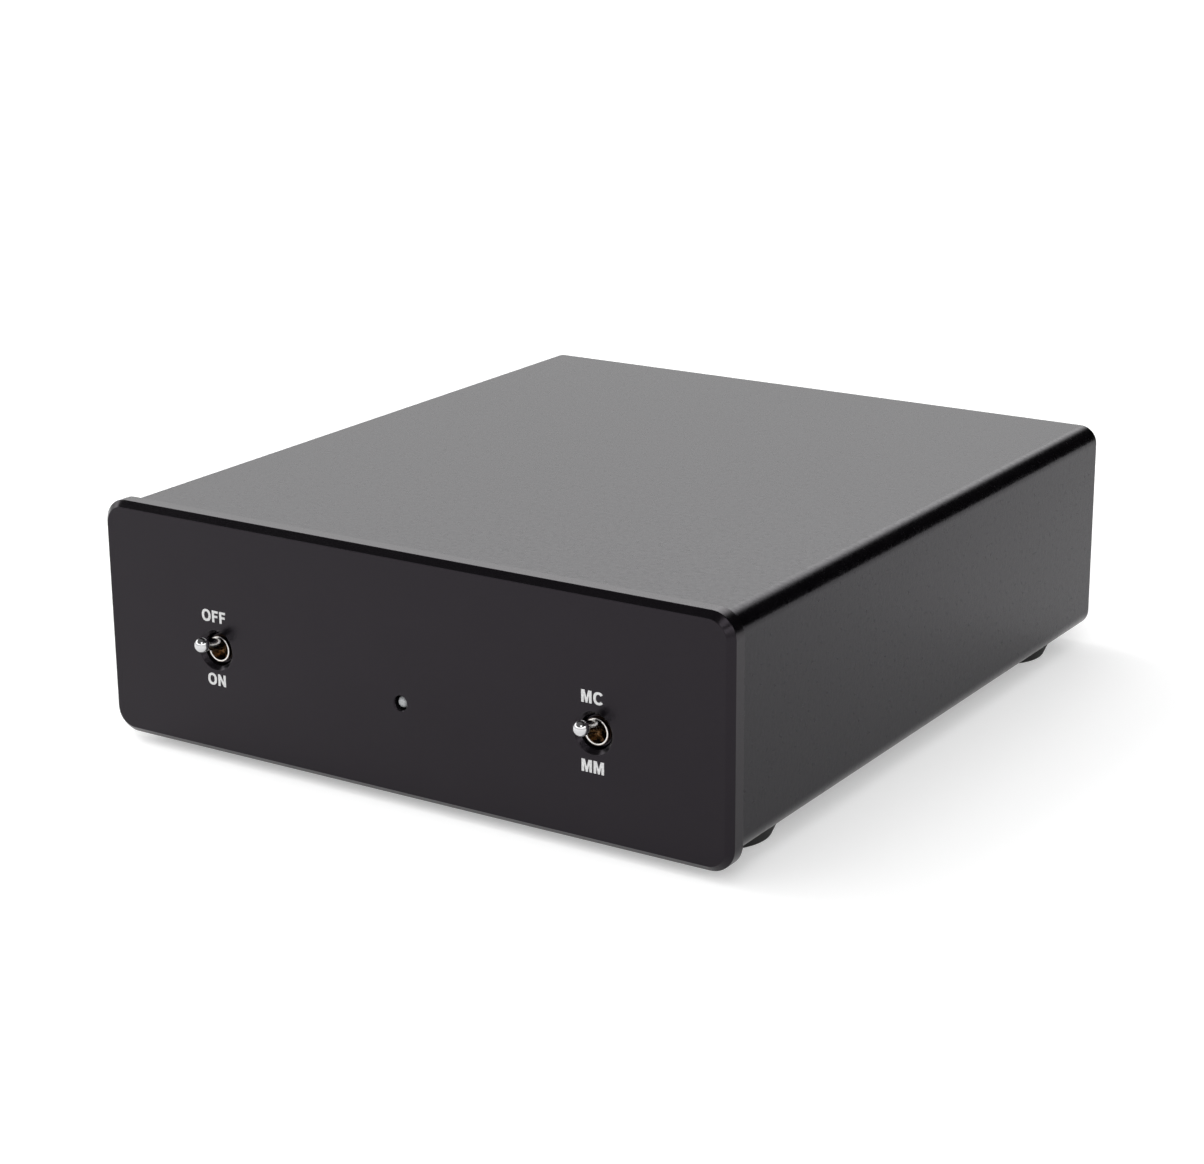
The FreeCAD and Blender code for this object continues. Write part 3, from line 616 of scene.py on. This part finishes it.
# %% The screw head tree
def screw_head_tree(material):
    sizes = {"Spacing X": "NodeSocketFloat", "Spacing Y": "NodeSocketFloat",
             "Head Radius": "NodeSocketFloat", "Head Height": "NodeSocketFloat",
             "Slot Size": "NodeSocketVector", "Slot Size Across": "NodeSocketVector",
             "Slot Place": "NodeSocketVector", "Turn": "NodeSocketVector", "Place": "NodeSocketVector"}
    tree, given, output = new_tree("cross_head_screws", sizes)
    link = tree.links.new
    head = tree.nodes.new("GeometryNodeMeshCylinder")
    head.inputs["Vertices"].default_value = 48
    link(given.outputs["Head Radius"], head.inputs["Radius"])
    link(given.outputs["Head Height"], head.inputs["Depth"])
    cut = tree.nodes.new("GeometryNodeMeshBoolean")
    cut.operation = "DIFFERENCE"
    link(head.outputs["Mesh"], cut.inputs["Mesh 1"])
    for label in ("Slot Size", "Slot Size Across"):
        bar = tree.nodes.new("GeometryNodeMeshCube")
        shift = tree.nodes.new("GeometryNodeTransform")
        link(given.outputs[label], bar.inputs["Size"])
        link(bar.outputs["Mesh"], shift.inputs["Geometry"])
        link(given.outputs["Slot Place"], shift.inputs["Translation"])
        link(shift.outputs["Geometry"], cut.inputs["Mesh 2"])
    corners = tree.nodes.new("GeometryNodeMeshGrid")
    corners.inputs["Vertices X"].default_value = 2
    corners.inputs["Vertices Y"].default_value = 2
    link(given.outputs["Spacing X"], corners.inputs["Size X"])
    link(given.outputs["Spacing Y"], corners.inputs["Size Y"])
    copies = tree.nodes.new("GeometryNodeInstanceOnPoints")
    link(corners.outputs["Mesh"], copies.inputs["Points"])
    link(cut.outputs["Mesh"], copies.inputs["Instance"])
    set_down = tree.nodes.new("GeometryNodeTransform")
    link(copies.outputs["Instances"], set_down.inputs["Geometry"])
    link(given.outputs["Turn"], set_down.inputs["Rotation"])
    link(given.outputs["Place"], set_down.inputs["Translation"])
    finish_tree(tree, output, set_down.outputs["Geometry"], material)
    return tree


head_radius = 2.9 * MM
head_height = 1.8 * MM
slot_length = 3.2 * MM
slot_width = 0.7 * MM
slot_depth = 1.0 * MM
head_bevel = 0.25 * MM


def screw_heads(name, node, spacing_x, spacing_y, turn, place):
    """Four cross-head screws standing in for a node's plain ones."""
    slot = node_slot[node]
    tall = 2 * slot_depth
    values = {"Spacing X": spacing_x, "Spacing Y": spacing_y,
              "Head Radius": head_radius, "Head Height": head_height,
              "Slot Size": (slot_length, slot_width, tall),
              "Slot Size Across": (slot_width, slot_length, tall),
              "Slot Place": (0, 0, head_height / 2), "Turn": turn, "Place": place}
    mesh = bevelled(bake_tree(screw_head_tree(finishes[slot]), values), head_bevel, 2)
    piece = add_piece(name, mesh, finishes[slot], "housing")
    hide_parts(node)
    print(name, len(mesh.polygons), "faces")


def box_middle(node):
    low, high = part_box(node)
    return [(a + b) / 2 for a, b in zip(low, high)], low, high


middle, low, high = box_middle("rear_panel_screws")
screw_heads("rear_plate_screw_heads", "rear_panel_screws",
            high[0] - low[0] - 2 * head_radius, high[2] - low[2] - 2 * head_radius,
            (-math.pi / 2, 0, 0), (middle[0], high[1] - head_height / 2, middle[2]))
middle, low, high = box_middle("foot_screws")
screw_heads("foot_screw_heads", "foot_screws",
            high[0] - low[0] - 2 * head_radius, high[1] - low[1] - 2 * head_radius,
            (math.pi, 0, 0), (middle[0], middle[1], low[2] + head_height / 2))

# %% [markdown]
# ## Switch markings
# The markings are screen printed in a bold, narrow block letter. Text from a font would bring that
# font's own widths, so the five letters are drawn here: three as outlines with straight sides, and two
# as rings of strokes. Each is laid on the plate as a film a few hundredths of a millimetre thick.

# %% Block letters
cap_height = 2.86 * MM
stroke = 0.67 * MM
film_thickness = 0.03 * MM
film_sink = 0.01 * MM
squareness = 2.3
letter_gap = 0.42 * MM
arm_stroke = 0.85 * stroke
flat_stroke = 0.875 * stroke
round_overshoot = 1.03
c_opening = 38
letter_widths = {"O": 2.62 * MM, "C": 2.66 * MM, "F": 1.8 * MM, "N": 2.3 * MM, "M": 2.66 * MM}


def letter_outline(letter):
    """The corners of a straight-sided letter, from its lower left corner."""
    w, h, s = letter_widths[letter], cap_height, stroke
    if letter == "F":
        arm_low, arm_end = 0.40 * h, 0.9 * w
        arm_high, top_low = arm_low + arm_stroke, h - arm_stroke
        return [(0, 0), (s, 0), (s, arm_low), (arm_end, arm_low), (arm_end, arm_high), (s, arm_high),
                (s, top_low), (w, top_low), (w, h), (0, h)]
    if letter == "N":
        turn = 0.58 * h
        return [(0, 0), (s, 0), (s, turn), (w - s, 0), (w, 0), (w, h), (w - s, h), (w - s, h - turn),
                (s, h), (0, h)]
    middle, foot_half, shoulder = w / 2, 0.36 * s, 1.28 * s
    leg_high, valley = 0.62 * h, 0.40 * h
    return [(0, 0), (s, 0), (s, leg_high), (middle - foot_half, 0), (middle + foot_half, 0),
            (w - s, leg_high), (w - s, 0), (w, 0), (w, h), (w - shoulder, h), (middle, valley),
            (shoulder, h), (0, h)]


def round_point(width, height, angle):
    """A point on a rounded-rectangle curve, centred, at an angle in degrees."""
    across_part, up_part = math.cos(math.radians(angle)), math.sin(math.radians(angle))
    return (math.copysign(abs(across_part) ** (2 / squareness), across_part) * width / 2,
            math.copysign(abs(up_part) ** (2 / squareness), up_part) * height / 2)


def add_film(shape, corners):
    """A flat outline in the XZ plane, given a thickness behind and in front of the face."""
    front = [shape.verts.new((x, -film_thickness / 2, z)) for x, z in corners]
    back = [shape.verts.new((x, film_thickness / 2, z)) for x, z in corners]
    shape.faces.new(front)
    shape.faces.new(list(reversed(back)))
    for index in range(len(corners)):
        after = (index + 1) % len(corners)
        shape.faces.new((front[after], front[index], back[index], back[after]))


def add_round_letter(shape, letter, left):
    """O is a whole ring and C a ring with its right side open."""
    width = letter_widths[letter]
    start, stop, steps = (0, 360, 64) if letter == "O" else (c_opening, 360 - c_opening, 48)
    centre_x, centre_z = left + width / 2, cap_height / 2
    tall = round_overshoot * cap_height
    outer, inner = [], []
    for step in range(steps + 1):
        angle = start + (stop - start) * step / steps
        x, z = round_point(width, tall, angle)
        outer.append((centre_x + x, centre_z + z))
        x, z = round_point(width - 2 * stroke, tall - 2 * flat_stroke, angle)
        inner.append((centre_x + x, centre_z + z))
    if letter == "C":
        add_film(shape, outer + list(reversed(inner)))
        return
    rings = []
    for points, side in ((outer, -1), (inner, -1), (inner, 1), (outer, 1)):
        rings.append([shape.verts.new((x, side * film_thickness / 2, z)) for x, z in points[:-1]])
    for low, high in zip(rings, rings[1:] + rings[:1]):
        for index in range(steps):
            after = (index + 1) % steps
            shape.faces.new((low[index], low[after], high[after], high[index]))


def marking_shape(text):
    shape = bmesh.new()
    left = -(sum(letter_widths[letter] for letter in text) + letter_gap * (len(text) - 1)) / 2
    for letter in text:
        if letter in "OC":
            add_round_letter(shape, letter, left)
        else:
            add_film(shape, [(left + x, z) for x, z in letter_outline(letter)])
        left += letter_widths[letter] + letter_gap
    return shape


# %% Print the markings
markings = {
    "off": ("OFF", -53.2, 3.72),
    "on": ("ON", -53.12, -11.83),
    "mc": ("MC", 51.86, 3.56),
    "mm": ("MM", 51.8, -12.24),
}
label_finish = label_white()
for label, (text, x, rise) in markings.items():
    place = Vector((x * MM, face_y + film_sink - film_thickness / 2, plate_middle_z + rise * MM))
    mesh = placed_mesh("marking_" + label, marking_shape(text), Matrix.Translation(place))
    add_piece("marking_" + label, mesh, label_finish, "housing")
    print("marking", label, len(mesh.polygons), "faces")

# %% [markdown]
# ## Rings that tell the sockets apart
# Behind, a coloured washer under each socket's flange tells right from left: red for right, white for
# left. Each is a thin flat ring.

# %% Socket rings
ring_outer = 6.6 * MM
ring_inner = 5.6 * MM
ring_thick = 0.4 * MM
ring_edge = 0.12 * MM
rear_plate_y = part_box("rear_panel")[1][1]
socket_colours = {"left": finishes["plastic_white"], "right": finishes["lead_red"]}
ring_profile = [(0, ring_inner), (0, ring_outer), (ring_thick - ring_edge, ring_outer),
                (ring_thick, ring_outer - ring_edge), (ring_thick, ring_inner), (0, ring_inner)]
for jack in ("input_left", "input_right", "output_left", "output_right"):
    low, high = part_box(jack + "_jack_shell")
    place = Matrix.Translation(((low[0] + high[0]) / 2, rear_plate_y, (low[2] + high[2]) / 2))
    mesh = placed_mesh(jack + "_ring", spun(ring_profile), place @ Matrix.Rotation(math.pi / 2, 4, "Z"))
    add_piece(jack + "_ring", mesh, socket_colours[jack.split("_")[1]], "housing")

# %% [markdown]
# ## Floor, surroundings and lamps
# A black object shows its surroundings more than its own colour. The lid mirrors what is low behind it
# on the left, the front and the sides mirror the floor, and the rounded edges mirror what is high
# behind and behind on the right. So the world is white low down, but dark behind on the right and dim
# above: that draws the black line along the edges. The lamps only light: they are kept out of mirror
# reflections, so that the gloss shows these surroundings alone. The floor is lit by the lamps and takes
# the shadow, and a little glow of its own lifts it to white for the camera and in reflections. For the
# camera the glow grows far away, so that the floor meets the white background without a line.

# %% Floor
def eased(tree, value, start, stop, before, after):
    """One level before start, another after stop, with a soft change between."""
    ramp = tree.nodes.new("ShaderNodeMapRange")
    ramp.interpolation_type = "SMOOTHSTEP"
    ramp.inputs["From Min"].default_value = start
    ramp.inputs["From Max"].default_value = stop
    ramp.inputs["To Min"].default_value = before
    ramp.inputs["To Max"].default_value = after
    tree.links.new(value, ramp.inputs["Value"])
    return ramp.outputs["Result"]


def combined(tree, operation, first, second):
    """One step of arithmetic; the second value is a socket or a plain number."""
    node = tree.nodes.new("ShaderNodeMath")
    node.operation = operation
    tree.links.new(first, node.inputs[0])
    if isinstance(second, float):
        node.inputs[1].default_value = second
    else:
        tree.links.new(second, node.inputs[1])
    return node.outputs["Value"]


floor_paper = (0.80, 0.80, 0.80, 1)
floor_glow = 0.34
mirrored_glow = 0.22
far_glow = 1.0
glow_grows_from = 0.45
glow_grows_to = 1.4


def floor_material():
    material = bpy.data.materials.new("studio_floor")
    material.use_nodes = True
    tree = material.node_tree
    tree.nodes.clear()
    link = tree.links.new
    paper = tree.nodes.new("ShaderNodeBsdfDiffuse")
    paper.inputs["Color"].default_value = floor_paper
    glow = tree.nodes.new("ShaderNodeEmission")
    path = tree.nodes.new("ShaderNodeLightPath")
    glossy, transmitted = path.outputs["Is Glossy Ray"], path.outputs["Is Transmission Ray"]
    mirrored = combined(tree, "MAXIMUM", glossy, transmitted)
    place = tree.nodes.new("ShaderNodeTexCoord")
    reach = tree.nodes.new("ShaderNodeVectorMath")
    reach.operation = "LENGTH"
    link(place.outputs["Object"], reach.inputs[0])
    grows = eased(tree, reach.outputs["Value"], glow_grows_from, glow_grows_to, floor_glow, far_glow)
    seen = combined(tree, "MULTIPLY", path.outputs["Is Camera Ray"], grows)
    strength = combined(tree, "ADD", seen, combined(tree, "MULTIPLY", mirrored, mirrored_glow))
    both = tree.nodes.new("ShaderNodeAddShader")
    output = tree.nodes.new("ShaderNodeOutputMaterial")
    link(strength, glow.inputs["Strength"])
    link(paper.outputs["BSDF"], both.inputs[0])
    link(glow.outputs["Emission"], both.inputs[1])
    link(both.outputs["Shader"], output.inputs["Surface"])
    return material


floor_half = 6.0
floor_mesh = bpy.data.meshes.new("studio_floor")
corners = [(-floor_half, -floor_half, 0), (floor_half, -floor_half, 0),
           (floor_half, floor_half, 0), (-floor_half, floor_half, 0)]
floor_mesh.from_pydata(corners, [], [(0, 1, 2, 3)])
floor_mesh.materials.append(floor_material())
floor = bpy.data.objects.new("studio_floor", floor_mesh)
bpy.context.scene.collection.objects.link(floor)

# %% Surroundings
dark_side = (0.545, 0.838, 0.0)
dark_side_start, dark_side_full = 0.58, 0.78
dim_side_start, dim_side_full = -0.10, 0.42
horizon_level, upper_level = 0.84, 2.8
brightens_from, brightens_to = 0.20, 0.42
ceiling_slope = (0.0, -0.15, 1.0)
white_up_to, dim_from = 0.50, 0.60
ceiling_level = 0.15
darkest = 0.006
seen_background = 1.0
top_panel = (0.385, -0.585, 0.714)
top_panel_level = 2.4
top_panel_edge, top_panel_core = 0.972, 0.989


def surroundings():
    """White low down, dim above with one pale panel, and dark towards one side."""
    world = bpy.data.worlds.new("studio")
    world.use_nodes = True
    tree = world.node_tree
    tree.nodes.clear()
    link = tree.links.new
    direction = tree.nodes.new("ShaderNodeTexCoord").outputs["Generated"]
    split = tree.nodes.new("ShaderNodeSeparateXYZ")
    link(direction, split.inputs["Vector"])
    height = split.outputs["Z"]

    def towards(aim):
        dot = tree.nodes.new("ShaderNodeVectorMath")
        dot.operation = "DOT_PRODUCT"
        dot.inputs[1].default_value = aim
        link(direction, dot.inputs[0])
        return dot.outputs["Value"]

    def blended(amount, first, second):
        node = tree.nodes.new("ShaderNodeMix")
        link(amount, node.inputs["Factor"])
        link(first, node.inputs["A"])
        if isinstance(second, float):
            node.inputs["B"].default_value = second
        else:
            link(second, node.inputs["B"])
        return node.outputs["Result"]

    side = towards(dark_side)
    rise = eased(tree, height, brightens_from, brightens_to, horizon_level, upper_level)
    lit_side = eased(tree, side, dark_side_start, dark_side_full, 1.0, darkest)
    ceiling = eased(tree, side, dim_side_start, dim_side_full, ceiling_level, darkest)
    panel = eased(tree, towards(top_panel), top_panel_edge, top_panel_core, 0.0, top_panel_level)
    above = eased(tree, towards(ceiling_slope), white_up_to, dim_from, 0.0, 1.0)
    below = combined(tree, "MULTIPLY", rise, lit_side)
    level = blended(above, below, combined(tree, "ADD", ceiling, panel))
    path = tree.nodes.new("ShaderNodeLightPath")
    background = tree.nodes.new("ShaderNodeBackground")
    background.inputs["Color"].default_value = (1, 1, 1, 1)
    output = tree.nodes.new("ShaderNodeOutputWorld")
    link(blended(path.outputs["Is Camera Ray"], level, seen_background), background.inputs["Strength"])
    link(background.outputs["Background"], output.inputs["Surface"])
    return world


bpy.context.scene.world = surroundings()

# %% Lamps
lamps = {
    "left_softbox": ((-1.2, 0.05, 1.2), (0.9, 0.9), 9.0),
    "overhead": ((-0.1, -0.5, 1.8), (1.8, 1.8), 15.0),
    "front_fill": ((0.9, -1.2, 1.0), (1.2, 0.8), 7.0),
}
lamp_aim = Vector((0, 0, 0.03))


def soft_lamp(name, place, size, power):
    """A rectangular lamp that faces the object and stays out of mirror reflections."""
    lamp = bpy.data.lights.new(name, "AREA")
    lamp.shape = "RECTANGLE"
    lamp.size, lamp.size_y = size
    lamp.energy = power
    holder = bpy.data.objects.new(name, lamp)
    bpy.context.scene.collection.objects.link(holder)
    holder.location = place
    holder.rotation_euler = (lamp_aim - place).to_track_quat("-Z", "Y").to_euler()
    holder.visible_glossy = False


for name, (place, size, power) in lamps.items():
    soft_lamp(name, Vector(place), size, power)
bpy.context.scene.view_settings.view_transform = "Standard"
